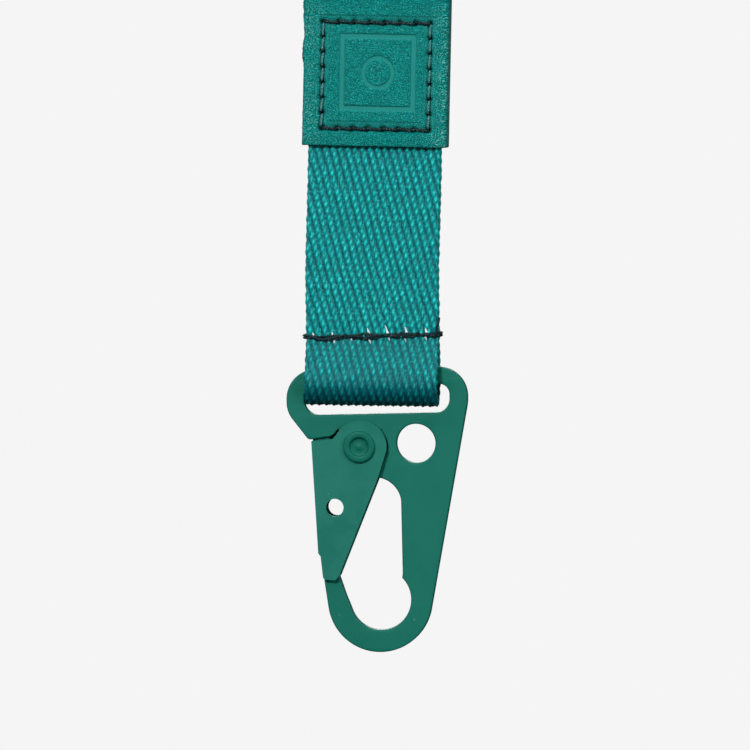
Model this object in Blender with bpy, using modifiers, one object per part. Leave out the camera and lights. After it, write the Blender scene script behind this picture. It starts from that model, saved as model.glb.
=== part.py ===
"""Neck lanyard: a 25 mm webbing strap, a stitched leather wrap, a webbing loop and a flat snap hook with a sprung gate.

Metres, +Z up. The lanyard hangs from the inside top of its neck loop, which is the origin.
Width runs along X, thickness along Y, and the front faces -Y.
"""

import math

import bmesh
import bpy
from mathutils import Matrix, Vector

MM = 0.001
GAP = 0.3                      # between touching pieces, mm

# Webbing, all sizes in mm
WEB_W = 25.0                   # width
WEB_T = 1.6                    # thickness
STRAP_DROP = 370.0             # from the neck rest down to the leather's top edge
NECK_R = 46.0                  # inside radius of the neck strap where it goes over the neck

# Leather wrap
LEATHER_LEFT = 13.4            # cut edges, left of the strap's centre
LEATHER_RIGHT = 14.15          # fold, right of it
LEATHER_H = 32.0
LEATHER_T = 1.3
LEATHER_TILT = -0.6            # degrees, in the strap's own plane
STITCH_W = 20.2                # the box of stitches, centre to centre
STITCH_H = 20.2
STITCH_UP = 3.4                # its lowest row above the leather's bottom edge
THREAD_D = 0.8

# Webbing loop between the leather and the hook
LEATHER_BOTTOM = -(STRAP_DROP + LEATHER_H)
FLEX_Z = LEATHER_BOTTOM - 2.0  # the line the loop bends about
BAR_Z = LEATHER_BOTTOM - 42.9  # centre of the hook's top bar
FOLD_R = 2.6                   # inside radius of the fold under the bar
TACK_Z = BAR_Z + 7.7           # the row of stitches that closes the loop
TACK_D = 1.0

# Snap hook: x to the right and z up from the centre of its top bar
HOOK_TILT = -2.0               # degrees about +Y, so the right side sits higher
BODY_T = 2.6
SIDE_X = 16.95
RIVET_X, RIVET_Z = -3.4, -13.0
GATE_T = 0.9
GATE_OPEN_DEG = 28.0

COLLECTION = "lanyard"


# ---------------------------------------------------------------- helpers
def clear_scene():
    for obj in list(bpy.data.objects):
        bpy.data.objects.remove(obj, do_unlink=True)


def collection(name):
    made = bpy.data.collections.new(name)
    bpy.context.scene.collection.children.link(made)
    return made


def material(name, colour, roughness, metallic=0.0):
    made = bpy.data.materials.new(name)
    made.use_nodes = True
    shader = made.node_tree.nodes["Principled BSDF"]
    shader.inputs["Base Color"].default_value = (*colour, 1.0)
    shader.inputs["Roughness"].default_value = roughness
    shader.inputs["Metallic"].default_value = metallic
    return made


def arc(cx, cz, radius, start, end, count):
    """Points on a circle from one angle to another, in degrees."""
    points = []
    for i in range(count + 1):
        a = math.radians(start + (end - start) * i / count)
        points.append((cx + radius * math.cos(a), cz + radius * math.sin(a)))
    return points


def rounded(corners, step=12.0):
    """A polygon with filleted corners. Each corner is (x, z, radius)."""
    out = []
    n = len(corners)
    for i, (x, z, r) in enumerate(corners):
        p = Vector((x, z))
        if r <= 0:
            out.append((x, z))
            continue
        a = (Vector(corners[i - 1][:2]) - p).normalized()
        b = (Vector(corners[(i + 1) % n][:2]) - p).normalized()
        half = a.angle(b) / 2
        reach = r / math.tan(half)
        centre = p + (a + b).normalized() * (r / math.sin(half))
        va, vb = p + a * reach - centre, p + b * reach - centre
        turn = math.atan2(va.x * vb.y - va.y * vb.x, va.dot(vb))
        count = max(2, int(abs(math.degrees(turn)) / step))
        base = math.atan2(va.y, va.x)
        for k in range(count + 1):
            angle = base + turn * k / count
            out.append((centre.x + r * math.cos(angle), centre.y + r * math.sin(angle)))
    return out


def outline_object(name, loops, thickness, coll, mat, bevel=0.0, plane="XZ", centre=(0, 0, 0)):
    """A flat piece from closed outlines in mm. The first is the outside, the others are holes."""
    curve = bpy.data.curves.new(name, "CURVE")
    curve.dimensions = "2D"
    curve.fill_mode = "BOTH"
    curve.extrude = (thickness / 2 - bevel) * MM
    curve.bevel_depth = bevel * MM
    curve.bevel_resolution = 1
    curve.offset = -bevel * MM
    for loop in loops:
        spline = curve.splines.new("POLY")
        spline.points.add(len(loop) - 1)
        for point, (u, v) in zip(spline.points, loop):
            point.co = (u * MM, v * MM, 0.0, 1.0)
        spline.use_cyclic_u = True
    obj = bpy.data.objects.new(name, curve)
    turn = {
        "XZ": Matrix.Rotation(math.radians(90), 4, "X"),
        "YZ": Matrix(((0, 0, 1, 0), (1, 0, 0, 0), (0, 1, 0, 0), (0, 0, 0, 1))),
        "XY": Matrix.Identity(4),
    }[plane]
    obj.matrix_world = Matrix.Translation(Vector(centre) * MM) @ turn
    coll.objects.link(obj)
    curve.materials.append(mat)
    return obj


def as_mesh(obj, keep_frame=True):
    """The curve as a welded mesh object in the same place."""
    bpy.context.view_layer.update()
    graph = bpy.context.evaluated_depsgraph_get()
    mesh = bpy.data.meshes.new_from_object(obj.evaluated_get(graph))
    name, world, parent = obj.name, obj.matrix_world.copy(), obj.parent
    colls = list(obj.users_collection)
    bm = bmesh.new()
    bm.from_mesh(mesh)
    bmesh.ops.remove_doubles(bm, verts=bm.verts, dist=0.00002)
    bmesh.ops.recalc_face_normals(bm, faces=bm.faces)
    bm.to_mesh(mesh)
    bm.free()
    bpy.data.objects.remove(obj, do_unlink=True)
    made = bpy.data.objects.new(name, mesh)
    mesh.name = name
    made.matrix_world = world
    for coll in colls:
        coll.objects.link(made)
    if parent:
        made.parent = parent
        made.matrix_parent_inverse = parent.matrix_world.inverted()
    return made


def cut(obj, cutter, operation="DIFFERENCE"):
    modifier = obj.modifiers.new(operation.lower() + "_" + cutter.name, "BOOLEAN")
    modifier.operation = operation
    modifier.solver = "EXACT"
    modifier.object = cutter
    cutter.hide_render = True
    cutter.display_type = "WIRE"


def cylinder(name, radius, depth, at, coll, segments=28):
    """A cylinder along Y, sizes in mm."""
    bm = bmesh.new()
    bmesh.ops.create_cone(bm, cap_ends=True, segments=segments, radius1=radius * MM, radius2=radius * MM, depth=depth * MM)
    bmesh.ops.transform(bm, matrix=Matrix.Rotation(math.radians(90), 4, "X"), verts=bm.verts)
    mesh = bpy.data.meshes.new(name)
    bm.to_mesh(mesh)
    bm.free()
    obj = bpy.data.objects.new(name, mesh)
    obj.location = Vector(at) * MM
    coll.objects.link(obj)
    return obj


def tube(name, points, diameter, coll, mat, cyclic=False, sides=2):
    """A thread or a wire along points in mm."""
    curve = bpy.data.curves.new(name, "CURVE")
    curve.dimensions = "3D"
    curve.bevel_depth = diameter / 2 * MM
    curve.bevel_resolution = sides
    curve.use_fill_caps = True
    spline = curve.splines.new("POLY")
    spline.points.add(len(points) - 1)
    for point, p in zip(spline.points, points):
        point.co = (p[0] * MM, p[1] * MM, p[2] * MM, 1.0)
    spline.use_cyclic_u = cyclic
    obj = bpy.data.objects.new(name, curve)
    coll.objects.link(obj)
    curve.materials.append(mat)
    return obj


def ribbon_outline(path, thickness):
    """The closed outline of a strap of this thickness along an open path of (y, z) points."""
    left, right = [], []
    for i, p in enumerate(path):
        a = Vector(path[max(i - 1, 0)])
        b = Vector(path[min(i + 1, len(path) - 1)])
        t = (b - a).normalized()
        n = Vector((-t.y, t.x)) * (thickness / 2)
        left.append((p[0] + n.x, p[1] + n.y))
        right.append((p[0] - n.x, p[1] - n.y))
    return left + right[::-1]


def hook_parent(obj, empty):
    obj.parent = empty


# ---------------------------------------------------------------- soft parts
def neck_path():
    """Centre line of the neck strap in (y, z): up from the leather, over the neck and down again."""
    y0 = WEB_T / 2 + GAP / 2
    r = NECK_R + WEB_T / 2
    top_z = -NECK_R
    ply_top = -STRAP_DROP + 2.0
    # The straight run leaves the leather at the angle that meets the round of the neck.
    reach = top_z - ply_top
    lean = math.asin((r - y0) / math.hypot(reach, y0)) if reach > r else 0.3
    points = [(y0, LEATHER_BOTTOM + 0.6), (y0, LEATHER_BOTTOM + 11.0), (y0, LEATHER_BOTTOM + 22.0), (y0, ply_top - 3.0)]
    tangent = math.degrees(lean)
    start = (r * math.cos(-lean), top_z + r * math.sin(-lean))
    bend = 22.0
    for i in range(1, 8):
        # ease from the vertical ply into the straight leaning run
        t = i / 7
        points.append((y0 + math.tan(lean) * bend * 0.5 * t * t, ply_top - 3.0 + bend * t))
    base = points[-1]
    for i in range(1, 7):
        t = i / 7
        sag = -1.2 * math.sin(math.pi * t)
        points.append((base[0] + (start[0] - base[0]) * t + sag, base[1] + (start[1] - base[1]) * t))
    half = points + arc(0.0, top_z, r, -tangent, 90.0, 22)
    return half + [(-y, z) for y, z in half[-2::-1]]


def make_neck_strap(coll, mat):
    outline_object("neck_strap", [ribbon_outline(neck_path(), WEB_T)], WEB_W, coll, mat, plane="YZ")


def ply_half():
    """Half the thickness of the two plies together."""
    return WEB_T + GAP / 2


def make_leather(coll, mat):
    """One strip of hide folded round the plies: front panel, round fold on the right, back panel."""
    inner = ply_half() + GAP
    outer = inner + LEATHER_T
    left, right = -LEATHER_LEFT, LEATHER_RIGHT
    bend = right - LEATHER_T
    loop = rounded([
        (left, -outer, 0.25), (right, -outer, 1.8), (right, outer, 1.8), (left + 0.5, outer, 0.25),
        (left + 0.5, inner, 0.0), (bend, inner, 0.5), (bend, -inner, 0.5), (left, -inner, 0.0),
    ], 12.0)
    obj = outline_object("leather_wrap", [loop], LEATHER_H, coll, mat, plane="XY")
    tilt = Matrix.Rotation(math.radians(-LEATHER_TILT), 4, "Y")
    obj.matrix_world = Matrix.Translation((0.0, 0.0, (LEATHER_BOTTOM + LEATHER_H / 2) * MM)) @ tilt
    return outer


def make_box_stitches(coll, mat, outer):
    """The sewn box, one run of thread on each face of the leather."""
    tilt = Matrix.Rotation(math.radians(-LEATHER_TILT), 4, "Y")
    base = Matrix.Translation((0.0, 0.0, (LEATHER_BOTTOM + LEATHER_H / 2) * MM)) @ tilt
    low = -LEATHER_H / 2 + STITCH_UP
    corners = rounded([
        (-STITCH_W / 2, low, 0.8), (STITCH_W / 2, low, 0.8),
        (STITCH_W / 2, low + STITCH_H, 0.8), (-STITCH_W / 2, low + STITCH_H, 0.8),
    ], 30.0)
    for name, side in (("box_stitch_front", -1), ("box_stitch_back", 1)):
        y = side * (outer + GAP + THREAD_D / 2)
        obj = tube(name, [(x, y, z) for x, z in corners], THREAD_D, coll, mat, cyclic=True)
        obj.matrix_world = base


def loop_path():
    """Centre line of the webbing loop in (y, z): down the front, round under the bar and up the back."""
    y0 = WEB_T / 2 + GAP / 2
    r = FOLD_R + WEB_T / 2
    low = BAR_Z - 0.7
    half = [(y0, FLEX_Z), (y0, FLEX_Z - 10.0), (y0, FLEX_Z - 20.0), (y0, TACK_Z - 0.4)]
    for i in range(1, 7):
        t = i / 6
        ease = t * t * (3 - 2 * t)
        half.append((y0 + (r - y0) * ease, TACK_Z - 0.4 + (low - TACK_Z + 0.4) * t))
    front = [(-y, z) for y, z in half]
    fold = [(x, z) for x, z in arc(0.0, low, r, 180.0, 360.0, 16)][1:-1]
    return front + fold + half[::-1]


def make_loop(coll, mat):
    outline_object("webbing_loop", [ribbon_outline(loop_path(), WEB_T)], WEB_W - 0.1, coll, mat, plane="YZ")


def make_bar_tack(coll, mat):
    """The row of thread across each face that closes the loop above the hook."""
    y = WEB_T + GAP / 2 + GAP + TACK_D / 2
    for name, side in (("bar_tack_front", -1), ("bar_tack_back", 1)):
        tube(name, [(-12.3 + 24.6 * i / 12, side * y, TACK_Z) for i in range(13)], TACK_D, coll, mat)


# ---------------------------------------------------------------- snap hook
def body_outline():
    """Outside of the plate: shoulders, slanting right side, round bow and the nose that the gate closes on."""
    top = 1.65
    mouth_top = arc(-0.84, -24.0, 4.96, 104.0, 6.0, 10)
    bow_inside = arc(-0.20, -41.62, 5.72, 43.7, -164.4, 24)
    bow_outside = arc(-0.33, -41.74, 9.75, 187.0, 349.0, 30)
    corners = [
        (-SIDE_X, top, 5.6),                   # top left shoulder
        (-SIDE_X, -6.3, 3.2),                  # its lower side
        (-12.45, -11.30, 0.3),                 # the step that the closed gate stops on
        (-9.70, -11.10, 0.4),
        (-9.30, -13.60, 2.2),                  # hidden edge between the gate's plates
        (-6.60, -17.90, 1.6),
        (-3.60, -18.75, 1.0),
    ]
    corners += [(x, z, 0.0) for x, z in mouth_top]
    corners += [(4.06, -36.9, 0.0)]            # straight inside of the right arm
    corners += [(x, z, 0.0) for x, z in bow_inside]
    corners += [
        (-6.43, -40.80, 0.0),                  # inside of the nose
        (-8.35, -34.20, 0.4),                  # its top, inside the gate's tip
        (-11.10, -33.95, 0.4),
        (-10.64, -38.09, 0.0),                 # its outside
    ]
    corners += [(x, z, 0.0) for x, z in bow_outside]
    corners += [(SIDE_X, -5.07, 9.0), (SIDE_X, top, 5.6)]
    return rounded(corners, 8.0)


def slot_outline():
    """The slot that the webbing passes through."""
    return rounded([(-13.6, -1.6, 2.4), (13.6, -1.6, 2.4), (13.6, -7.0, 2.6), (-13.6, -7.0, 2.6)], 12.0)


def gate_outline():
    """The gate's plate: round head over the rivet, straight back edge and tip over the nose."""
    head = arc(RIVET_X, RIVET_Z, 4.9, 150.0, -12.0, 14)
    corners = [(-12.35, -11.68, 0.2), (-8.55, -11.55, 0.3)]
    corners += [(x, z, 0.0) for x, z in head]
    corners += [
        (-0.25, -19.46, 6.0),                  # front edge, down to the tip
        (-7.44, -37.17, 0.4),
        (-8.30, -37.95, 0.4),
        (-10.70, -37.60, 0.5),
        (-11.12, -33.30, 0.2),
        (-11.54, -32.75, 0.2),                 # lower end of the spine
    ]
    return rounded(corners, 15.0)


def make_hook(coll, cutters, paint, empty):
    rivet_hole = arc(RIVET_X, RIVET_Z, 1.75, 0.0, 345.0, 23)
    big_hole = arc(7.23, -12.67, 3.55, 0.0, 352.5, 47)
    body = outline_object(
        "hook_body", [body_outline(), slot_outline(), big_hole, rivet_hole], BODY_T, coll, paint, bevel=0.0
    )
    body = as_mesh(body)
    # Pocket for the gate spring, sunk in the back face round the rivet, open towards the gate's spine.
    pocket = cylinder("cut_spring_pocket", 3.35, 2.0, (RIVET_X, BODY_T / 2 + 1.0 - 1.3, RIVET_Z), cutters)
    cut(body, pocket)
    lane = outline_object(
        "cut_spring_lane",
        [[(-13.0, -14.2), (-3.5, -10.2), (-3.5, -16.2), (-8.0, -21.0), (-13.0, -21.0)]],
        2.0, cutters, paint, centre=(0, BODY_T / 2 + 1.0 - 1.3, 0),
    )
    lane = as_mesh(lane)
    cut(body, lane)
    for obj in (body, pocket, lane):
        hook_parent(obj, empty)
    return body


def make_gate(coll, cutters, paint, pivot):
    """Folded sheet: a front and a back plate joined by a spine down the outer edge."""
    half = BODY_T / 2 + GAP + GATE_T
    hole = arc(RIVET_X, RIVET_Z, 1.75, 0.0, 345.0, 23)
    window = arc(-8.14, -24.3, 1.6, 0.0, 345.0, 23)
    gate = outline_object("gate", [gate_outline(), hole, window], 2 * half, coll, paint)
    gate = as_mesh(gate)
    inside = [
        (-16.0, -8.0), (4.0, -6.0), (4.0, -20.0), (-6.0, -40.0), (-16.0, -40.0),
        (-16.0, -32.55), (-10.6, -32.55), (-11.42, -12.35), (-16.0, -12.35),
    ]
    hollow = outline_object("cut_gate_inside", [inside], 2 * (half - GATE_T), cutters, paint)
    hollow = as_mesh(hollow)
    cut(gate, hollow)
    for obj in (gate, hollow):
        obj.matrix_world = Matrix.Translation(-pivot.location) @ obj.matrix_world
        obj.parent = pivot
    return gate


def make_rivet(coll, steel, empty):
    """Turned rivet: a shank with a dished head on each side."""
    head = BODY_T / 2 + GAP + GATE_T + GAP
    # radius, height along the axis, from the top centre down the outside to the bottom centre
    half = [(0.0, head + 0.42), (0.55, head + 0.40), (0.85, head + 0.16), (1.75, head + 0.14), (2.10, head + 0.50), (2.55, head + 0.56), (2.90, head + 0.38), (3.0, head), (1.45, head)]
    profile = half + [(r, -h) for r, h in half[::-1]]
    mesh = bpy.data.meshes.new("rivet")
    mesh.from_pydata([(r * MM, 0.0, h * MM) for r, h in profile], [(i, i + 1) for i in range(len(profile) - 1)], [])
    obj = bpy.data.objects.new("rivet", mesh)
    coll.objects.link(obj)
    mesh.materials.append(steel)
    screw = obj.modifiers.new("turn", "SCREW")
    screw.steps = screw.render_steps = 32
    screw.use_merge_vertices = True
    screw.merge_threshold = 0.00001
    obj.parent = empty
    obj.matrix_local = Matrix.Translation((RIVET_X * MM, 0.0, RIVET_Z * MM)) @ Matrix.Rotation(math.radians(90), 4, "X")
    return obj


def make_spring(coll, steel, empty):
    """Torsion spring: two turns round the rivet, one arm to the body and one to the gate's spine."""
    wire, r = 0.42, 2.35
    y_in, y_out = 0.32, 1.02
    points = []
    turns = 1.55
    start = 289.0                  # the coil ends where its tangent runs to the spine
    count = 34
    for i in range(count + 1):
        a = math.radians(start + 360.0 * turns * i / count)
        y = y_in + (y_out - y_in) * i / count
        points.append((RIVET_X + r * math.cos(a), y, RIVET_Z + r * math.sin(a)))
    last = Vector(points[-1])
    arm = Vector((-10.65, last.y, -18.2))
    path = [tuple(last + (arm - last) * t) for t in (1.0, 0.66, 0.33)] + points[::-1]
    obj = tube("gate_spring", path, wire, coll, steel)
    obj.parent = empty
    return obj


def main():
    clear_scene()
    parts = collection(COLLECTION)
    cutters = collection("cutters")
    webbing = material("teal_webbing", (0.010, 0.230, 0.225), 0.75)
    leather = material("teal_leather", (0.006, 0.205, 0.185), 0.5)
    thread = material("dark_thread", (0.004, 0.035, 0.045), 0.6)
    paint = material("green_paint", (0.011, 0.158, 0.118), 0.45, 0.0)
    gate_paint = material("gate_paint", (0.014, 0.135, 0.105), 0.45, 0.0)
    steel = material("spring_steel", (0.45, 0.45, 0.45), 0.3, 1.0)

    make_neck_strap(parts, webbing)
    outer = make_leather(parts, leather)
    make_box_stitches(parts, thread, outer)
    make_loop(parts, webbing)
    make_bar_tack(parts, thread)

    hook = bpy.data.objects.new("hook_axis", None)      # on the line that the hook swings about
    parts.objects.link(hook)
    hook.location = (0.0, 0.0, BAR_Z * MM)
    hook.rotation_euler = (0.0, math.radians(HOOK_TILT), 0.0)
    gate_pivot = bpy.data.objects.new("gate_axis", None)  # on the line that the gate turns about
    parts.objects.link(gate_pivot)
    gate_pivot.parent = hook
    gate_pivot.location = (RIVET_X * MM, 0.0, RIVET_Z * MM)

    make_hook(parts, cutters, paint, hook)
    make_gate(parts, cutters, gate_paint, gate_pivot)
    make_rivet(parts, paint, hook)
    make_spring(parts, steel, hook)
    bpy.context.view_layer.update()


main()
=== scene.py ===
import math

import bmesh
import bpy
import numpy as np
from mathutils import Matrix, Vector


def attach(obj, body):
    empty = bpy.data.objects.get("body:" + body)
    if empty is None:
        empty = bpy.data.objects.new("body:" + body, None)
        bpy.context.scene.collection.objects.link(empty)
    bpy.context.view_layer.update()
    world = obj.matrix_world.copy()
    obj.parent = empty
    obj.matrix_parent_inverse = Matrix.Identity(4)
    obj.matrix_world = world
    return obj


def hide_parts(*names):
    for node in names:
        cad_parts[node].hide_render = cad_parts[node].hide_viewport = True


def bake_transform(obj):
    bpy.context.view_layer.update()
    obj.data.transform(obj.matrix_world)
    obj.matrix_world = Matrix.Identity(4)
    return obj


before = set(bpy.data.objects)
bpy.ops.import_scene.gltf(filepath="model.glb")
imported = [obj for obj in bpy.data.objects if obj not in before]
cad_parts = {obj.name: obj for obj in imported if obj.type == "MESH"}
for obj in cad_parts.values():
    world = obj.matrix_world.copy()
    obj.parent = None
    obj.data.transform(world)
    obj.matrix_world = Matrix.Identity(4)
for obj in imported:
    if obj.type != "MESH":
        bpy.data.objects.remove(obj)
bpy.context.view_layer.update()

MM = 0.001

# ---- sizes in mm, as in the CAD
WEB_W, WEB_T, GAP = 25.0, 1.6, 0.3
STRAP_DROP, NECK_R = 370.0, 46.0
LEATHER_LEFT, LEATHER_RIGHT, LEATHER_H, LEATHER_T = 13.65, 13.30, 32.0, 1.25
LEATHER_TILT = -0.55
LB = -(STRAP_DROP + LEATHER_H)
FLEX_Z = LB - 2.0
BAR_Z = LB - 42.9
FOLD_R = 2.6
TACK_Z = BAR_Z + 7.7
HOOK_TILT = -2.0
BODY_T, GATE_T = 2.6, 0.9
SWAY, LEAN = -0.80, 0.0045      # the webbing hangs a little left in the hook's slot, and leans right as it climbs
SIDE_X = 16.95
RIVET = (-3.4, -13.0)

rng = np.random.default_rng(7)


# ================================================================ mesh helpers
def new_object(name, mesh, mats, body=None):
    obj = bpy.data.objects.new(name, mesh)
    bpy.context.scene.collection.objects.link(obj)
    for m in mats if isinstance(mats, (list, tuple)) else [mats]:
        mesh.materials.append(m)
    if body:
        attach(obj, body)
    return obj


def mesh_from(name, verts, quads, smooth=True, others=()):
    """A mesh from an array of points in mm, an array of quads and some other faces."""
    mesh = bpy.data.meshes.new(name)
    verts = np.asarray(verts, np.float64) * MM
    faces = [np.asarray(quads, np.int32).reshape(-1, 4)]
    loops = faces[0].ravel()
    totals = np.full(len(faces[0]), 4, np.int32)
    for f in others:
        loops = np.concatenate([loops, np.asarray(f, np.int32)])
        totals = np.concatenate([totals, [len(f)]])
    starts = np.concatenate([[0], np.cumsum(totals)[:-1]]).astype(np.int32)
    mesh.vertices.add(len(verts))
    mesh.vertices.foreach_set("co", verts.ravel().astype(np.float32))
    mesh.loops.add(len(loops))
    mesh.loops.foreach_set("vertex_index", loops.astype(np.int32))
    mesh.polygons.add(len(totals))
    mesh.polygons.foreach_set("loop_start", starts)
    mesh.polygons.foreach_set("loop_total", totals.astype(np.int32))
    mesh.update(calc_edges=True)
    mesh.validate()
    if smooth:
        mesh.shade_smooth()
    return mesh


def ring_quads(rows, cols, cyclic_cols=True, cyclic_rows=False, base=0):
    """Quads of a grid of rows by cols points, numbered along the columns first."""
    r = np.arange(rows if cyclic_rows else rows - 1)
    c = np.arange(cols if cyclic_cols else cols - 1)
    R, C = np.meshgrid(r, c, indexing="ij")
    R2, C2 = (R + 1) % rows, (C + 1) % cols
    q = np.stack([R * cols + C, R * cols + C2, R2 * cols + C2, R2 * cols + C], -1)
    return q.reshape(-1, 4) + base


def point_attribute(mesh, name, values):
    a = mesh.attributes.new(name, "FLOAT_VECTOR", "POINT")
    a.data.foreach_set("vector", np.asarray(values, np.float32).ravel())


def outward(mesh):
    bm = bmesh.new()
    bm.from_mesh(mesh)
    bmesh.ops.recalc_face_normals(bm, faces=bm.faces)
    bm.to_mesh(mesh)
    bm.free()


def resample(path, step=None, count=None):
    """Evenly spaced points along a polyline, with their arc lengths and unit tangents."""
    path = np.asarray(path, float)
    seg = np.linalg.norm(np.diff(path, axis=0), axis=1)
    s = np.concatenate([[0], np.cumsum(seg)])
    n = count or max(2, int(round(s[-1] / step)) + 1)
    t = np.linspace(0, s[-1], n)
    pts = np.stack([np.interp(t, s, path[:, k]) for k in range(path.shape[1])], 1)
    tan = np.gradient(pts, axis=0)
    tan /= np.linalg.norm(tan, axis=1)[:, None]
    return pts, t, tan


def smooth_line(path, passes=3, keep=1):
    path = np.asarray(path, float).copy()
    for _ in range(passes):
        mid = (path[:-2] + path[2:]) / 2
        path[1:-1] = path[1:-1] * 0.5 + mid * 0.5
    return path


def strand(points, radius, sides=7, taper=0.0):
    """(verts, quads, caps) of a round tube along points; radius may vary."""
    points = np.asarray(points, float)
    n = len(points)
    radius = np.broadcast_to(np.asarray(radius, float), (n,)).copy()
    tan = np.gradient(points, axis=0)
    tan /= np.linalg.norm(tan, axis=1)[:, None] + 1e-12
    ref = np.array([0.0, 1.0, 0.0]) if abs(tan[0][1]) < 0.9 else np.array([1.0, 0.0, 0.0])
    u = np.cross(tan[0], ref)
    u /= np.linalg.norm(u)
    rings = []
    for i in range(n):
        u = u - tan[i] * np.dot(u, tan[i])
        u /= np.linalg.norm(u) + 1e-12
        v = np.cross(tan[i], u)
        a = np.linspace(0, 2 * np.pi, sides, endpoint=False)
        rings.append(points[i] + radius[i] * (np.cos(a)[:, None] * u + np.sin(a)[:, None] * v))
    verts = np.concatenate(rings)
    return verts, ring_quads(n, sides), [list(range(sides))[::-1], list(range((n - 1) * sides, n * sides))]


class Soup:
    """Collects several closed pieces of mesh into one."""

    def __init__(self):
        self.verts, self.quads, self.caps, self.extra, self.count = [], [], [], [], 0

    def add(self, verts, quads, caps=(), tag=(0.0, 0.0, 0.0)):
        self.verts.append(verts)
        self.quads.append(np.asarray(quads) + self.count)
        self.caps += [[i + self.count for i in c] for c in caps]
        self.extra.append(np.broadcast_to(np.asarray(tag, float), (len(verts), 3)) if np.ndim(tag) == 1 else tag)
        self.count += len(verts)

    def mesh(self, name, attribute=None):
        made = mesh_from(name, np.concatenate(self.verts), np.concatenate(self.quads), others=self.caps)
        if attribute:
            point_attribute(made, attribute, np.concatenate(self.extra))
        return made


def smoothstep(a, b, x):
    t = np.clip((x - a) / (b - a), 0, 1)
    return t * t * (3 - 2 * t)


# ================================================================ node helpers
class Nodes:
    def __init__(self, name):
        self.mat = bpy.data.materials.new(name)
        self.mat.use_nodes = True
        self.tree = self.mat.node_tree
        self.tree.nodes.clear()
        self.out = self.tree.nodes.new("ShaderNodeOutputMaterial")
        self.bsdf = self.tree.nodes.new("ShaderNodeBsdfPrincipled")
        self.tree.links.new(self.bsdf.outputs[0], self.out.inputs[0])

    def add(self, kind, **props):
        node = self.tree.nodes.new(kind)
        for k, v in props.items():
            setattr(node, k, v)
        return node

    def put(self, socket, value):
        if isinstance(value, bpy.types.NodeSocket):
            self.tree.links.new(value, socket)
        elif value is not None:
            socket.default_value = value

    def math(self, op, a, b=None, c=None, clamp=False):
        node = self.add("ShaderNodeMath", operation=op, use_clamp=clamp)
        for i, v in enumerate((a, b, c)):
            if v is not None:
                self.put(node.inputs[i], v)
        return node.outputs[0]

    def vec(self, op, a, b=None):
        node = self.add("ShaderNodeVectorMath", operation=op)
        self.put(node.inputs[0], a)
        if b is not None:
            self.put(node.inputs[1], b)
        return node.outputs[0]

    def split(self, v):
        node = self.add("ShaderNodeSeparateXYZ")
        self.put(node.inputs[0], v)
        return node.outputs

    def join(self, x, y, z=0.0):
        node = self.add("ShaderNodeCombineXYZ")
        for s, v in zip(node.inputs, (x, y, z)):
            self.put(s, v)
        return node.outputs[0]

    def attribute(self, name):
        node = self.add("ShaderNodeAttribute", attribute_name=name)
        return node.outputs["Vector"]

    def noise(self, vector, scale, detail=3.0, rough=0.5, distortion=0.0):
        node = self.add("ShaderNodeTexNoise")
        self.put(node.inputs["Vector"], vector)
        node.inputs["Scale"].default_value = scale
        node.inputs["Detail"].default_value = detail
        node.inputs["Roughness"].default_value = rough
        node.inputs["Distortion"].default_value = distortion
        return node.outputs["Fac"]

    def voronoi(self, vector, scale, feature="F1", rand=1.0):
        node = self.add("ShaderNodeTexVoronoi", feature=feature)
        self.put(node.inputs["Vector"], vector)
        node.inputs["Scale"].default_value = scale
        node.inputs["Randomness"].default_value = rand
        return node.outputs["Distance"]

    def ramp(self, fac, stops, smooth=False):
        node = self.add("ShaderNodeValToRGB")
        self.put(node.inputs[0], fac)
        e = node.color_ramp.elements
        while len(e) > 1:
            e.remove(e[-1])
        e[0].position, e[0].color = stops[0][0], (*stops[0][1], 1)
        for p, c in stops[1:]:
            n = e.new(p)
            n.color = (*c, 1)
        if smooth:
            node.color_ramp.interpolation = "EASE"
        return node.outputs[0]

    def range(self, v, a, b, c, d, smooth=False):
        node = self.add("ShaderNodeMapRange", interpolation_type="SMOOTHSTEP" if smooth else "LINEAR")
        self.put(node.inputs[0], v)
        for i, x in enumerate((a, b, c, d)):
            node.inputs[1 + i].default_value = x
        return node.outputs[0]

    def mix(self, fac, a, b, blend="MIX"):
        node = self.add("ShaderNodeMix", data_type="RGBA", blend_type=blend)
        self.put(node.inputs[0], fac)
        self.put(node.inputs[6], (*a, 1) if isinstance(a, tuple) else a)
        self.put(node.inputs[7], (*b, 1) if isinstance(b, tuple) else b)
        return node.outputs[2]

    def bump(self, height, strength, distance, normal=None):
        node = self.add("ShaderNodeBump")
        node.inputs["Strength"].default_value = strength
        node.inputs["Distance"].default_value = distance
        self.put(node.inputs["Height"], height)
        if normal is not None:
            self.put(node.inputs["Normal"], normal)
        return node.outputs[0]

    def set(self, **values):
        for k, v in values.items():
            self.put(self.bsdf.inputs[k.replace("_", " ")], v)
        return self.mat


# ================================================================ materials
YARNS = 72
YARN_DX = WEB_W / YARNS
FLOAT_SHIFT = 1.17             # one weft pick: how far down each yarn's float starts after its neighbour's
FLOAT_REPEAT = 4 * FLOAT_SHIFT


def scatter(j, k):
    """A repeatable value from -1 to 1 for each yarn and pick."""
    v = np.sin(j * 12.9898 + k * 78.233) * 43758.5453
    return (v - np.floor(v)) * 2 - 1


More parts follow.
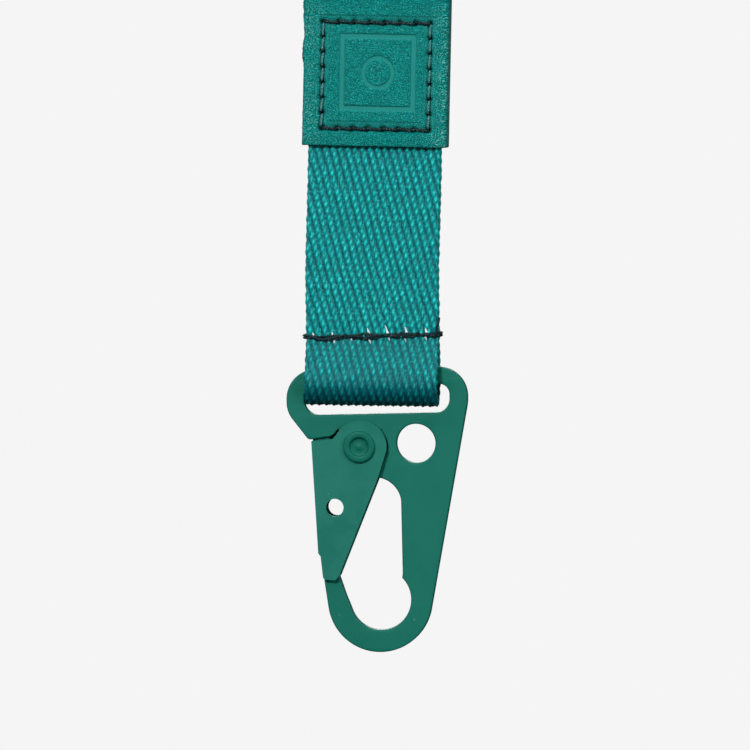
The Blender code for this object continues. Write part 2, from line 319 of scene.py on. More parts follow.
def weave_height(x, s):
    """Relief of the twill in mm, 0 in the lowest gaps, at x across and s along the strap, both arrays in mm.
    Each warp yarn floats over three picks of weft and under one, a pick lower on each next yarn, so the floats climb in steep ribs.
    The middle of a float stands proud as a plump grain of yarn, leaning against the run of its rib."""
    best = np.zeros(np.broadcast(x, s).shape)
    base = np.floor((x + WEB_W / 2) / YARN_DX)
    for k in (-2, -1, 0, 1, 2):
        j = base + k
        turn = (s - j * FLOAT_SHIFT) / FLOAT_REPEAT
        own = scatter(j, np.floor(turn))
        p = turn - np.floor(turn) - 0.5 + own * 0.025
        cx = (j + 0.5) * YARN_DX - WEB_W / 2 + 0.03 * own
        crown = np.exp(-(p / 0.150) ** 2) * (1 + 0.16 * own)
        body = smoothstep(0.47, 0.30, np.abs(p))
        lean = -0.17 * np.sin(2 * np.pi * np.clip(p, -0.25, 0.25)) + 0.26 * p
        r = 0.17 + 0.07 * body + 0.17 * crown
        off = (x - cx - lean) / r
        h = (0.05 + 0.17 * body + 0.24 * crown) * np.sqrt(np.clip(1 - off * off, 0, 1))
        best = np.maximum(best, h)
    return best


def webbing_material(name, relief):
    """Twill webbing. The attribute 'weave' holds x and s in mm, and the relief's height where the mesh has it."""
    n = Nodes(name)
    at = n.attribute("weave")
    x, s, h = n.split(at)
    if relief:
        height = n.math("MULTIPLY", h, 2.15)
        normal = None
    else:
        # the same twill from three neighbouring yarns, as colour and bump
        base = n.math("FLOOR", n.math("DIVIDE", n.math("ADD", x, WEB_W / 2), YARN_DX))
        height = None
        for k in (-1, 0, 1):
            j = n.math("ADD", base, float(k))
            cx = n.math("SUBTRACT", n.math("MULTIPLY", n.math("ADD", j, 0.5), YARN_DX), WEB_W / 2)
            turn = n.math("DIVIDE", n.math("SUBTRACT", s, n.math("MULTIPLY", j, FLOAT_SHIFT)), FLOAT_REPEAT)
            p = n.math("SUBTRACT", n.math("FRACT", n.math("ADD", turn, 1000.0)), 0.5)
            pp = n.math("DIVIDE", p, 0.150)
            crown = n.math("EXPONENT", n.math("MULTIPLY", n.math("MULTIPLY", pp, pp), -1.0))
            body = n.range(n.math("ABSOLUTE", p), 0.30, 0.47, 1.0, 0.0, True)
            lean = n.math("MULTIPLY", p, -0.5)
            r = n.math("ADD", n.math("MULTIPLY_ADD", body, 0.07, 0.17), n.math("MULTIPLY", crown, 0.17))
            off = n.math("DIVIDE", n.math("SUBTRACT", n.math("SUBTRACT", x, cx), lean), r)
            rnd = n.math("SQRT", n.math("SUBTRACT", 1.0, n.math("MULTIPLY", off, off), clamp=True))
            one = n.math("MULTIPLY", n.math("ADD", n.math("MULTIPLY_ADD", body, 0.17, 0.05), n.math("MULTIPLY", crown, 0.24)), rnd)
            height = one if height is None else n.math("MAXIMUM", height, one)
        normal = n.bump(height, 1.0, 0.001)
        height = n.math("MULTIPLY", height, 2.15)
    fibre_at = n.join(n.math("MULTIPLY", x, 1.0), n.math("MULTIPLY", s, 0.34), 0.0)
    fibre = n.noise(fibre_at, 4.6, 3.0, 0.7)
    painted_glint = n.noise(n.join(x, n.math("MULTIPLY", s, 0.66), 3.0), 2.7, 3.0, 0.7)
    broad = n.noise(at, 0.16, 2.0, 0.5)
    # painted shade and highlight: the colour follows the twill's height, dark in the gaps between the yarns and bright
    # on the crowns of the floats
    tone = n.ramp(height, [
        (0.00, (0.000, 0.022, 0.032)), (0.22, (0.000, 0.045, 0.056)), (0.50, (0.000, 0.158, 0.168)),
        (0.72, (0.000, 0.290, 0.300)), (0.88, (0.002, 0.500, 0.496)), (1.00, (0.025, 0.780, 0.740)),
    ])
    # painted glints: bright flecks scattered along the yarns
    lit = n.mix(n.range(painted_glint, 0.53, 0.66, 0.0, 0.72), tone, (0.020, 0.600, 0.565))
    lit = n.mix(n.range(fibre, 0.36, 0.56, 0.62, 0.0), lit, (0.000, 0.085, 0.096))
    lit = n.mix(n.range(broad, 0.35, 0.65, 0.0, 0.16), lit, (0.000, 0.170, 0.178))
    if relief:
        # darker from just below the sewn row down to the bar, and darkest, as painted shade, where it turns under the
        # bar
        place = n.split(n.add("ShaderNodeTexCoord").outputs["Object"])[2]
        lit = n.mix(n.range(place, (TACK_Z - 1.2) * MM, (TACK_Z - 0.2) * MM, 0.34, 0.0), lit, (0.000, 0.075, 0.086))
        lit = n.mix(n.range(place, (BAR_Z - 3.6) * MM, (BAR_Z + 0.2) * MM, 0.60, 0.0), lit, (0.000, 0.022, 0.052))
    rough = n.range(fibre, 0.3, 0.7, 0.56, 0.32)
    b = n.bump(fibre, 0.8, 0.00014, normal)
    return n.set(Base_Color=lit, Roughness=rough, Normal=b, Specular_IOR_Level=0.15)


def leather_material():
    """Dyed hide with a fine pebbled grain. 'hide' holds x and z on the panel in mm and how much the grain was pressed
    flat, which goes below zero at the needle holes, where the hide is painted dark as shade.
    """
    n = Nodes("leather_hide")
    at = n.attribute("hide")
    x, z, press = n.split(at)
    pos = n.join(x, z, 0.0)
    warp = n.noise(pos, 1.1, 2.0, 0.6)
    slant = n.join(n.math("ADD", n.math("MULTIPLY", x, 1.0), n.math("MULTIPLY", warp, 0.9)), n.math("ADD", z, n.math("MULTIPLY", x, 0.25)), 0.0)
    cell = n.voronoi(slant, 2.9, "SMOOTH_F1")
    crack = n.voronoi(slant, 2.9, "DISTANCE_TO_EDGE")
    fine = n.noise(slant, 4.4, 3.0, 0.7)
    broad = n.noise(pos, 0.22, 3.0, 0.55)
    grain = n.math("ADD", n.math("MULTIPLY", n.range(crack, 0.0, 0.22, 0.0, 1.0, True), 0.8), n.math("MULTIPLY", fine, 0.75))
    keep = n.math("SUBTRACT", 1.0, n.math("MULTIPLY", press, 0.82), clamp=True)
    tone = n.ramp(grain, [
        (0.25, (0.000, 0.088, 0.080)), (0.55, (0.000, 0.192, 0.175)), (0.85, (0.001, 0.275, 0.250)), (1.0, (0.008, 0.370, 0.335)),
    ])
    tone = n.mix(n.range(broad, 0.35, 0.65, 0.0, 0.22), tone, (0.004, 0.165, 0.150))
    flat = n.mix(n.range(fine, 0.3, 0.7, 0.0, 1.0), (0.008, 0.205, 0.184), (0.020, 0.250, 0.224))
    tone = n.mix(press, tone, flat)
    # painted glints on the grain, as sheen: patchy, stronger towards the lower right and at the two sides, fading near
    # the top, none where the grain is pressed flat
    shine = n.range(n.noise(pos, 0.13, 2.0, 0.5), 0.36, 0.64, 0.45, 1.0)
    corner = n.range(n.math("SUBTRACT", x, n.math("MULTIPLY", z, 0.55)), 1.0, 12.0, 0.75, 1.25)
    painted_grain_glint = n.math("MULTIPLY", n.range(n.noise(n.join(n.math("MULTIPLY", x, 1.15), n.math("MULTIPLY_ADD", x, -0.45, z), 4.0), 3.2, 3.0, 0.6), 0.55, 0.66, 0.0, 0.78), keep)
    sides = n.range(n.math("ABSOLUTE", x), 9.5, 12.6, 0.62, 2.9)
    head = n.range(z, 24.5, 27.5, 1.0, 0.05)
    painted_grain_glint = n.math("MULTIPLY", n.math("MULTIPLY", painted_grain_glint, shine), n.math("MULTIPLY", n.math("MULTIPLY", corner, sides), head))
    painted_grain_glint = n.math("MINIMUM", painted_grain_glint, 1.0)
    tone = n.mix(n.range(z, 25.0, 28.5, 0.0, 0.22), tone, (0.000, 0.105, 0.100))
    tone = n.mix(painted_grain_glint, tone, (0.150, 0.460, 0.415))
    h = n.math("MULTIPLY", grain, keep)
    b = n.bump(h, 0.9, 0.00020)
    # painted shade: near black down the needle holes
    tone = n.mix(n.range(press, -0.75, -0.15, 0.92, 0.0), tone, (0.001, 0.018, 0.020))
    rough = n.range(n.math("MULTIPLY", grain, keep), 0.2, 1.2, 0.50, 0.34)
    return n.set(Base_Color=tone, Roughness=rough, Normal=b, Specular_IOR_Level=0.07)


def edge_material():
    """Cut edge of the hide: fibrous, darker than the face."""
    n = Nodes("leather_edge")
    at = n.add("ShaderNodeTexCoord").outputs["Object"]
    f = n.noise(at, 2600.0, 4.0, 0.7)
    tone = n.ramp(f, [(0.25, (0.001, 0.030, 0.032)), (0.6, (0.003, 0.085, 0.080)), (0.9, (0.010, 0.150, 0.140))])
    return n.set(Base_Color=tone, Roughness=0.85, Normal=n.bump(f, 0.8, 0.0002))


def thread_material(name, dark, mid, glint_colour, rough=0.38):
    """Twisted polyester thread: 'ply' holds the place along the thread and a number for each stitch."""
    n = Nodes(name)
    at = n.attribute("ply")
    t, r, ring = n.split(at)
    fibre = n.noise(n.join(n.math("MULTIPLY", t, 1.25), n.math("MULTIPLY", ring, 0.8), r), 3.0, 3.0, 0.7)
    # painted glints: the palest colour stands for light caught on the twisted fibres
    tone = n.ramp(fibre, [(0.38, dark), (0.57, mid), (0.68, glint_colour)])
    # the upright stitches are lighter and carry stronger painted glints
    pulled = n.ramp(fibre, [(0.36, (0.000, 0.040, 0.045)), (0.50, (0.006, 0.200, 0.195)), (0.62, (0.40, 0.74, 0.70))])
    tone = n.mix(n.range(r, 90.0, 99.0, 0.0, 0.85), tone, pulled)
    return n.set(Base_Color=tone, Roughness=rough, Normal=n.bump(fibre, 0.7, 0.00015), Specular_IOR_Level=0.22)


def paint_material(name, base, deep, pale):
    """Matte powder paint on metal, with a faint orange peel, soft mottling, a few dust specks and a patchy painted
    highlight along its rounded edges.
    """
    n = Nodes(name)
    at = n.add("ShaderNodeTexCoord").outputs["Object"]
    peel = n.noise(at, 2200.0, 2.0, 0.5)
    mottle = n.noise(at, 190.0, 4.0, 0.6)
    broad = n.noise(at, 45.0, 2.0, 0.5)
    dust = n.range(n.noise(at, 1100.0, 1.0, 0.4), 0.80, 0.82, 0.0, 0.40)
    tone = n.mix(n.range(mottle, 0.3, 0.7, 0.0, 1.0), deep, base)
    tone = n.mix(n.range(broad, 0.35, 0.7, 0.0, 0.35), tone, pale)
    geo = n.add("ShaderNodeNewGeometry")
    # painted highlight on the rounded edges, patchy with the mottling
    painted_edge_highlight = n.math("MULTIPLY", n.range(geo.outputs["Pointiness"], 0.52, 0.60, 0.0, 0.55), n.range(mottle, 0.4, 0.62, 0.0, 1.0))
    tone = n.mix(painted_edge_highlight, tone, pale)
    tone = n.mix(dust, tone, (0.10, 0.30, 0.24))
    rough = n.range(mottle, 0.3, 0.7, 0.44, 0.56)
    return n.set(Base_Color=tone, Roughness=rough, Normal=n.bump(peel, 0.22, 0.00006), Specular_IOR_Level=0.14)


def steel_material():
    n = Nodes("spring_wire")
    at = n.add("ShaderNodeTexCoord").outputs["Object"]
    f = n.noise(at, 900.0, 3.0, 0.6)
    tone = n.ramp(f, [(0.3, (0.30, 0.31, 0.32)), (0.7, (0.55, 0.56, 0.57))])
    return n.set(Base_Color=tone, Metallic=1.0, Roughness=n.range(f, 0.3, 0.7, 0.22, 0.36))


def gap_material():
    """Pale core of the weave, opened by the needle."""
    n = Nodes("pale_core")
    at = n.add("ShaderNodeTexCoord").outputs["Object"]
    f = n.noise(at, 3000.0, 2.0, 0.6)
    tone = n.ramp(f, [(0.3, (0.42, 0.56, 0.57)), (0.6, (0.80, 0.84, 0.86))])
    return n.set(Base_Color=tone, Roughness=0.7)


M_WEB = webbing_material("webbing_twill", True)
M_STRAP = webbing_material("strap_twill", False)
M_HIDE = leather_material()
M_EDGE = edge_material()
M_THREAD = thread_material("box_thread", (0.0003, 0.004, 0.006), (0.001, 0.018, 0.024), (0.24, 0.50, 0.48))
M_TACK = thread_material("tack_thread", (0.0005, 0.003, 0.007), (0.003, 0.018, 0.026), (0.180, 0.46, 0.45), 0.42)
M_PAINT = paint_material("hook_paint", (0.0042, 0.140, 0.102), (0.0032, 0.128, 0.093), (0.0090, 0.164, 0.123))
M_GATE = paint_material("gate_paint", (0.0085, 0.152, 0.116), (0.0066, 0.139, 0.105), (0.0150, 0.175, 0.135))
# the rivet's paint is a deeper, more saturated green than the body's: partly its own colour, partly painted shade for
# its dished head
M_RIVET = paint_material("rivet_paint", (0.0012, 0.118, 0.084), (0.0009, 0.102, 0.073), (0.0026, 0.134, 0.098))
M_STEEL = steel_material()
M_PALE = gap_material()


# ================================================================ camera
PX = 5.36                      # picture points to the millimetre at the object
AZ, EL, ROLL = math.radians(5.6), math.radians(2.6), math.radians(0.62)
DIST = 1.5
cam_data = bpy.data.cameras.new("camera")
cam = bpy.data.objects.new("camera", cam_data)
bpy.context.scene.collection.objects.link(cam)
bpy.context.scene.camera = cam
cam_data.sensor_width = 36.0
cam_data.lens = 36.0 * DIST / (750.0 / PX * MM)
cam_data.clip_start, cam_data.clip_end = 0.05, 20.0
toward = Vector((math.sin(AZ) * math.cos(EL), -math.cos(AZ) * math.cos(EL), math.sin(EL)))
right = Vector((math.cos(AZ), math.sin(AZ), 0.0))
up = toward.cross(right) * 1.0
CENTRE = Vector((-0.35 * MM, 0.0, (BAR_Z + 0.25) * MM))
cam.location = CENTRE + toward * DIST
basis = Matrix((right, up, toward)).transposed().to_4x4()
cam.matrix_world = Matrix.Translation(cam.location) @ basis @ Matrix.Rotation(ROLL, 4, "Z")


# ================================================================ webbing
def sway(z):
    """How far the loop's centre line lies to the right at height z, in mm. It bows a little between the wrap and the hook."""
    t = np.clip((z - BAR_Z - 4.0) / 36.0, 0, 1)
    return SWAY + LEAN * (z - BAR_Z) - 0.38 * smoothstep(0.0, 0.5, t) + 0.20 * smoothstep(0.4, 1.0, t)


def ribbon(name, path, mat, cols, step, relief, width, thickness, s0=0.0, flip=1.0, inner_cols=26, fray=0.06):
    """A woven strap along a (y, z) path. The outer face is on the left of the path, times flip."""
    pts, s, tan = resample(path, step)
    s = s + s0
    nrm = np.stack([-tan[:, 1], tan[:, 0]], 1) * flip
    rows = len(pts)
    half = width / 2
    e = 5
    xs_out = np.linspace(-half + 0.25, half - 0.25, cols)
    ang = np.linspace(90, -90, e + 2)[1:-1]
    xs_in = np.linspace(half - 0.25, -half + 0.25, inner_cols)
    t2 = thickness / 2
    edge = np.radians(ang)
    # across the section: x, offset along the normal, how far a point belongs to each face
    xr = half - 0.25 + 0.25 * np.cos(edge)
    orr = t2 * 0.85 * np.sin(edge)
    x_all = np.concatenate([xs_out, xr, xs_in, -xr[::-1]])
    o_all = np.concatenate([np.full(cols, t2), orr, np.full(inner_cols, -t2), orr[::-1]])
    total = len(x_all)
    X = np.broadcast_to(x_all, (rows, total)).copy()
    O = np.broadcast_to(o_all, (rows, total)).copy()
    S = np.broadcast_to(s[:, None], (rows, total)).copy()
    H = np.zeros((rows, total))
    out = slice(0, cols)
    if relief:
        H[:, out] = weave_height(X[:, out], S[:, out])
        fade = smoothstep(0, 0.8, half - np.abs(X[:, out]))
        O[:, out] += (H[:, out] - 0.33) * (0.35 + 0.65 * fade)
    else:
        H[:, out] = 0.3
    # selvedge: the weft turns back at each pick, so the edge is a row of small loops
    turn = 0.5 + 0.5 * np.sin(2 * np.pi * S / (FLOAT_REPEAT / 3))
    turn2 = 0.5 + 0.5 * np.sin(2 * np.pi * (S + 0.9) / (FLOAT_REPEAT / 3))
    near = smoothstep(half - 0.9, half - 0.1, np.abs(X))
    X += np.where(X > 0, turn, -turn2) * near * 0.13
    X += np.sign(X) * near * fray * np.sin(S * 1.7 + np.sign(X) * 2.0) * np.sin(S * 0.43 + 1.0)
    right_edge = slice(cols, cols + e)
    left_edge = slice(total - e, total)
    # these heights go only into the 'weave' attribute, where they set the painted shade and highlight of the webbing's
    # colour
    H[:, right_edge] = 0.30 + 0.14 * turn[:, right_edge]
    H[:, left_edge] = 0.26 + 0.16 * turn2[:, left_edge]
    H[:, cols + e:total - e] = weave_height(X[:, cols + e:total - e], S[:, cols + e:total - e]) * 0.6 + 0.1
    P = np.empty((rows, total, 3))
    P[..., 0] = X + (sway(pts[:, 1])[:, None] if relief else -0.5)
    P[..., 1] = pts[:, None, 0] + nrm[:, None, 0] * O
    P[..., 2] = pts[:, None, 1] + nrm[:, None, 1] * O
    quads = ring_quads(rows, total)
    caps = [list(range(total))[::-1], list(range((rows - 1) * total, rows * total))]
    mesh = mesh_from(name, P.reshape(-1, 3), quads, others=caps)
    outward(mesh)
    point_attribute(mesh, "weave", np.stack([X, S, H], -1).reshape(-1, 3))
    return mesh, pts, s


def loop_path():
    """Centre line of the webbing loop: from inside the leather down the front, round the bar and up the back."""
    y0 = WEB_T / 2 + GAP / 2
    r = FOLD_R + WEB_T / 2
    low = BAR_Z - 1.3
    start = TACK_Z - 0.4
    half = [(y0, LB + 3.0 + (start - LB - 3.0) * t) for t in np.linspace(0, 1, 60)]
    for t in np.linspace(0, 1, 40)[1:]:
        ease = t * t * (3 - 2 * t)
        half.append((y0 + (r - y0) * ease, start + (low - start) * t))
    front = [(-y, z) for y, z in half]
    fold = [(r * math.cos(a), low + r * math.sin(a)) for a in np.radians(np.linspace(180, 360, 60))][1:-1]
    path = np.array(front + fold + half[::-1])
    # pinched where the row of stitches pulls the plies together
    pinch = 0.20 * np.exp(-((path[:, 1] - TACK_Z) / 0.8) ** 2) * np.sign(path[:, 0]) * (np.abs(path[:, 0]) < 1.6)
    path[:, 0] -= pinch
    return smooth_line(path, 4)


loop_mesh, loop_pts, loop_s = ribbon("webbing_loop_woven", loop_path(), M_WEB, 218, 0.235, True, WEB_W - 0.25, WEB_T, flip=-1.0)
loop = new_object("webbing_loop_woven", loop_mesh, M_WEB)
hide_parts("webbing_loop")
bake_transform(loop)


def neck_path():
    """Centre line of the neck strap: up from the leather, over the neck and down again."""
    y0 = WEB_T / 2 + GAP / 2
    r = NECK_R + WEB_T / 2
    top_z = -NECK_R
    ply_top = -STRAP_DROP + 2.0
    reach = top_z - ply_top
    lean = math.asin((r - y0) / math.hypot(reach, y0))
    tangent = math.degrees(lean)
    start = (r * math.cos(-lean), top_z + r * math.sin(-lean))
    bend = 22.0
    points = [(y0, LB + 4.5), (y0, LB + 11.0), (y0, LB + 22.0), (y0, ply_top - 3.0)]
    for t in np.linspace(0, 1, 12)[1:]:
        points.append((y0 + math.tan(lean) * bend * 0.5 * t * t, ply_top - 3.0 + bend * t))
    base = points[-1]
    for t in np.linspace(0, 1, 60)[1:-1]:
        sag = -1.2 * math.sin(math.pi * t)
        points.append((base[0] + (start[0] - base[0]) * t + sag, base[1] + (start[1] - base[1]) * t))
    half = points + [(r * math.cos(a), top_z + r * math.sin(a)) for a in np.radians(np.linspace(-tangent, 90, 60))]
    return np.array(half + [(-y, z) for y, z in half[-2::-1]])


strap_mesh, strap_pts, strap_s = ribbon("neck_strap_woven", neck_path(), M_STRAP, 44, 0.9, False, WEB_W - 0.1, WEB_T, s0=1.3, flip=-1.0, inner_cols=44)
strap = new_object("neck_strap_woven", strap_mesh, M_STRAP, "neck_strap")
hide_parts("neck_strap")
strap_path = [(0.0, y * MM, z * MM) for y, z in strap_pts[:: max(1, len(strap_pts) // 160)]]
strap_path.append((0.0, strap_pts[-1][0] * MM, strap_pts[-1][1] * MM))


# ================================================================ leather wrap
TILT = Matrix.Rotation(math.radians(-LEATHER_TILT), 4, "Y")
LEATHER_AT = Matrix.Translation(((SWAY + 0.20 + LEAN * 59.0) * MM, 0, (LB + LEATHER_H / 2) * MM)) @ TILT
INNER = WEB_T + GAP / 2 + GAP
OUTER = INNER + LEATHER_T
BOX = (-10.15, 9.85, 3.25, 23.05)          # stitch box: left, right, low, high, from the strap's centre and the panel's foot
BAND_OUT = (-10.60, 11.05, 2.80, 24.30)
BAND_IN = (-8.95, 8.75, 4.65, 22.30)
FRAME_OUT = (-6.95, 7.35, 6.55, 20.95)
FRAME_W = 1.0
MOTIF = (0.23, 13.75)
STITCHES = 7


def inside_rect(x, z, rect, soft=0.12):
    l, r, b, t = rect
    return smoothstep(-soft, soft, x - l) * smoothstep(-soft, soft, r - x) * smoothstep(-soft, soft, z - b) * smoothstep(-soft, soft, t - z)


def box_holes():
    l, r, b, t = BOX
    pts = []
    for i in range(STITCHES):
        f = i / STITCHES
        pts += [(l + (r - l) * f, b), (r, b + (t - b) * f), (r - (r - l) * f, t), (l, t - (t - b) * f)]
    order = []
    for side in range(4):
        order += pts[side::4]
    return np.array(order)


HOLES = box_holes()


def panel_relief(x, z):
    """(height in mm, how flat the grain is pressed less the needle holes, where the hide's material paints shade, and
    the needle holes) of the front panel at x from the strap's centre and z from its foot.
    """
    h = np.zeros(np.broadcast(x, z).shape)
    press = np.zeros_like(h)
    band = inside_rect(x, z, BAND_OUT) - inside_rect(x, z, BAND_IN)
    h -= 0.13 * np.clip(band, 0, 1)
    press += 0.45 * np.clip(band, 0, 1)
    fi = (FRAME_OUT[0] + FRAME_W, FRAME_OUT[1] - FRAME_W, FRAME_OUT[2] + FRAME_W, FRAME_OUT[3] - FRAME_W)
    frame_band = np.clip(inside_rect(x, z, FRAME_OUT, 0.09) - inside_rect(x, z, fi, 0.09), 0, 1)
    h -= 0.17 * frame_band
    press += 1.0 * frame_band
    rad = np.hypot(x - MOTIF[0], z - MOTIF[1])
    ring = smoothstep(0.46, 0.34, np.abs(rad - 2.75))
    h -= 0.15 * ring
    press += 0.9 * ring
    # the thread pulls the hide down along the sewn line, deepest at the needle holes
    l, r, b, t = BOX
    dx = np.maximum(np.maximum(l - x, x - r), 0)
    dz = np.maximum(np.maximum(b - z, z - t), 0)
    outside = np.hypot(dx, dz)
    inside = np.minimum(np.minimum(x - l, r - x), np.minimum(z - b, t - z))
    line = np.where(inside > 0, inside, outside)
    h -= 0.30 * np.exp(-(line / 0.55) ** 2)
    hole = np.zeros_like(h)
    for hx, hz in HOLES:
        d2 = (x - hx) ** 2 + (z - hz) ** 2
        hole = np.maximum(hole, np.exp(-d2 / 0.56 ** 2))
        h -= 0.10 * np.exp(-d2 / 1.1 ** 2)
    h -= 0.62 * hole
    # the hide swells a little between rows and rolls off towards its edges
    h += 0.07 * np.sin(x * 0.33 + 0.4) * np.sin(z * 0.21 + 0.8) + 0.03 * np.sin(x * 0.9 + z * 0.5)
    h -= 0.16 * smoothstep(1.6, 0.0, z) + 0.12 * smoothstep(1.4, 0.0, x + LEATHER_LEFT)
    return h, np.clip(press, 0, 1) * (1 - np.clip(hole * 2, 0, 1)) - hole, hole


def make_leather():
    T = LEATHER_T
    left, right_ = -LEATHER_LEFT, LEATHER_RIGHT
    rc = 1.0 - T / 2
    yc = OUTER - T / 2
    xr = right_ - T / 2
    # centre line in plan: front left edge, right fold, back left edge
    front = np.stack([np.linspace(left, xr - rc, 214), np.full(214, -yc)], 1)
    a1 = np.radians(np.linspace(-90, 0, 12))[1:]
    c1 = np.stack([xr - rc + rc * np.cos(a1), -yc + rc + rc * np.sin(a1)], 1)
    side = np.stack([np.full(8, xr), np.linspace(-yc + rc, yc - rc, 10)[1:-1]], 1)
    a2 = np.radians(np.linspace(0, 90, 12))
    c2 = np.stack([xr - rc + rc * np.cos(a2), yc - rc + rc * np.sin(a2)], 1)
    back = np.stack([np.linspace(xr - rc, left + 0.5, 62)[1:], np.full(61, yc)], 1)
    line = np.concatenate([front, c1, side, c2, back])
    tan = np.gradient(line, axis=0)
    tan /= np.linalg.norm(tan, axis=1)[:, None]
    nrm = np.stack([tan[:, 1], -tan[:, 0]], 1)
    nf = len(front)
    rows_z = np.linspace(0.35, LEATHER_H - 0.35, 244)
    roll = np.radians(np.linspace(-90, 0, 6))
    # rows: foot edge from the inner side round to the outer face, the face, and the top edge back again
    z_rows = np.concatenate([[0.10, 0.0, 0.0], 0.35 + 0.35 * np.sin(np.radians([-60, -35, -15])), rows_z, LEATHER_H - 0.35 + 0.35 * np.sin(np.radians([15, 35, 60])), [LEATHER_H, LEATHER_H, LEATHER_H - 0.10]])
    o_foot = [-T / 2, -T / 2 + 0.12, T / 2 - 0.42, T / 2 - 0.18, T / 2 - 0.07, T / 2 - 0.02]
    o_rows = np.concatenate([o_foot, np.full(len(rows_z), T / 2), o_foot[::-1]])
    # columns: the cut left edge of the front, the outer face, and the cut left edge of the back
    e_off = np.array([-T / 2, -T / 2 + 0.08, -T / 4, 0.1, T / 2 - 0.2, T / 2 - 0.05])
    e_in = np.array([0.10, 0.0, 0.0, 0.0, 0.04, 0.12])
    R, C = len(z_rows), len(line)
    rnd = np.random.default_rng(3)
    P = np.zeros((R, C + 12, 3))
    A = np.zeros((R, C + 12, 3))
    Z = z_rows[:, None]
    X = line[None, :, 0]
    face = np.zeros((R, C))
    h, press, hole = panel_relief(X[:, :nf] + 0 * Z, Z + 0 * X[:, :nf])
    on_face = smoothstep(T / 2 - 0.5, T / 2, o_rows)[:, None]
    face[:, :nf] = h * on_face
    # the back panel: the sewn line only
    xb = line[-61:, 0][None, :]
    l, r, b, t = BOX
    dist = np.minimum.reduce([np.hypot(xb - l, np.maximum(np.maximum(b - Z, Z - t), 0)), np.hypot(xb - r, np.maximum(np.maximum(b - Z, Z - t), 0)), np.hypot(Z - b, np.maximum(np.maximum(l - xb, xb - r), 0)), np.hypot(Z - t, np.maximum(np.maximum(l - xb, xb - r), 0))])
    face[:, -61:] = -0.28 * np.exp(-(dist / 0.6) ** 2) * on_face
    off = o_rows[:, None] + face
    P[:, 6:-6, 0] = line[None, :, 0] + nrm[None, :, 0] * off
    P[:, 6:-6, 1] = line[None, :, 1] + nrm[None, :, 1] * off
    P[..., 2] = Z - LEATHER_H / 2
    arc_len = np.concatenate([[0], np.cumsum(np.linalg.norm(np.diff(line, axis=0), axis=1))])
    A[:, 6:-6, 0] = arc_len[None, :] - LEATHER_LEFT
    A[..., 1] = Z
    # press goes below zero at the needle holes, where the hide is painted dark as shade
    A[:, 6:6 + nf, 2] = press
    # a cut edge: slightly ragged
    rag = np.cumsum(rnd.normal(0, 0.035, R))
    rag -= np.linspace(rag[0], rag[-1], R)
    rag = np.convolve(rag, np.ones(3) / 3, mode="same") * 0.9 + 0.07 * np.sin(z_rows * 2.1) * np.sin(z_rows * 0.63 + 1.0) + 0.34 * np.exp(-((z_rows - 15.8) / 1.0) ** 2) + 0.30 * np.exp(-((z_rows - 18.1) / 1.7) ** 2)
    for k in range(6):
        fuzz = rnd.normal(0, 0.045, R)
        P[:, k, 0] = left - 0.12 + e_in[k] - rag * (1 - abs(k - 2.5) / 4) + fuzz
        P[:, k, 1] = -yc - np.minimum(e_off[k], o_rows)
        A[:, k, 0] = -LEATHER_LEFT - 0.3 - 0.2 * (5 - k)
        m = C + 11 - k
        P[:, m, 0] = left + 0.5 - 0.12 + e_in[k] + fuzz[::-1]
        P[:, m, 1] = yc + np.minimum(e_off[k], o_rows)
        A[:, m, 0] = arc_len[-1] - LEATHER_LEFT + 0.3 + 0.2 * (5 - k)
    give = np.linspace(1, 0, 16)[1:-1]
    P[:, 6:20, 0] -= rag[:, None] * give[None, :]
    total = C + 12
    quads = ring_quads(R, total, cyclic_cols=False)
    top, foot = (R - 1) * total, 0
    # the hidden inner side, in tall quads, and its two long edges
    inner = np.array([[foot + i + 1, foot + i, top + i, top + i + 1] for i in range(total - 1)])
    sides = [[r_ * total for r_ in range(R)], [r_ * total + total - 1 for r_ in range(R)][::-1]]
    mesh = mesh_from("leather_wrap_hide", P.reshape(-1, 3), np.concatenate([quads, inner]), others=sides)
    outward(mesh)
    point_attribute(mesh, "hide", A.reshape(-1, 3))
    mesh.transform(LEATHER_AT)
    obj = new_object("leather_wrap_hide", mesh, [M_HIDE, M_EDGE])
    # cut edges show the raw hide
    n_quads = len(quads)
    idx = np.zeros(len(mesh.polygons), np.int32)
    q = np.arange(n_quads)
    row, col = q // (total - 1), q % (total - 1)
    edge = (row < 3) | (row >= R - 4) | (col < 4) | (col >= total - 5)
    idx[:n_quads] = edge.astype(np.int32)
    idx[n_quads:] = 1
    mesh.polygons.foreach_set("material_index", idx)
    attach(obj, "neck_strap")
    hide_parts("leather_wrap")
    return obj


make_leather()


# ================================================================ thread
def twisted(soup, centre, radius, twist_mm, tag, sides=7, plies=2, phase=0.0):
    """A thread of two plies along centre, an array of points in mm."""
    centre = np.asarray(centre, float)
    n = len(centre)
    tan = np.gradient(centre, axis=0)
    tan /= np.linalg.norm(tan, axis=1)[:, None] + 1e-12
    length = np.concatenate([[0], np.cumsum(np.linalg.norm(np.diff(centre, axis=0), axis=1))])
    ref = np.array([0.0, 1.0, 0.0])
    u = np.cross(tan, ref)
    bad = np.linalg.norm(u, axis=1) < 0.2
    u[bad] = np.cross(tan[bad], np.array([0.3, 0.0, 1.0]))
    u /= np.linalg.norm(u, axis=1)[:, None]
    v = np.cross(tan, u)
    for k in range(plies):
        a = phase + 2 * np.pi * (k / plies + length / twist_mm)
        off = radius * 0.48
        line = centre + off * (np.cos(a)[:, None] * u + np.sin(a)[:, None] * v)
        verts, quads, caps = strand(line, radius * 0.60, sides)
        m = len(verts) // n
        t = np.repeat(length, m)
        ring = np.tile(np.arange(m), n)
        soup.add(verts, quads, caps, np.stack([t, np.full(len(verts), tag), ring.astype(float)], 1))


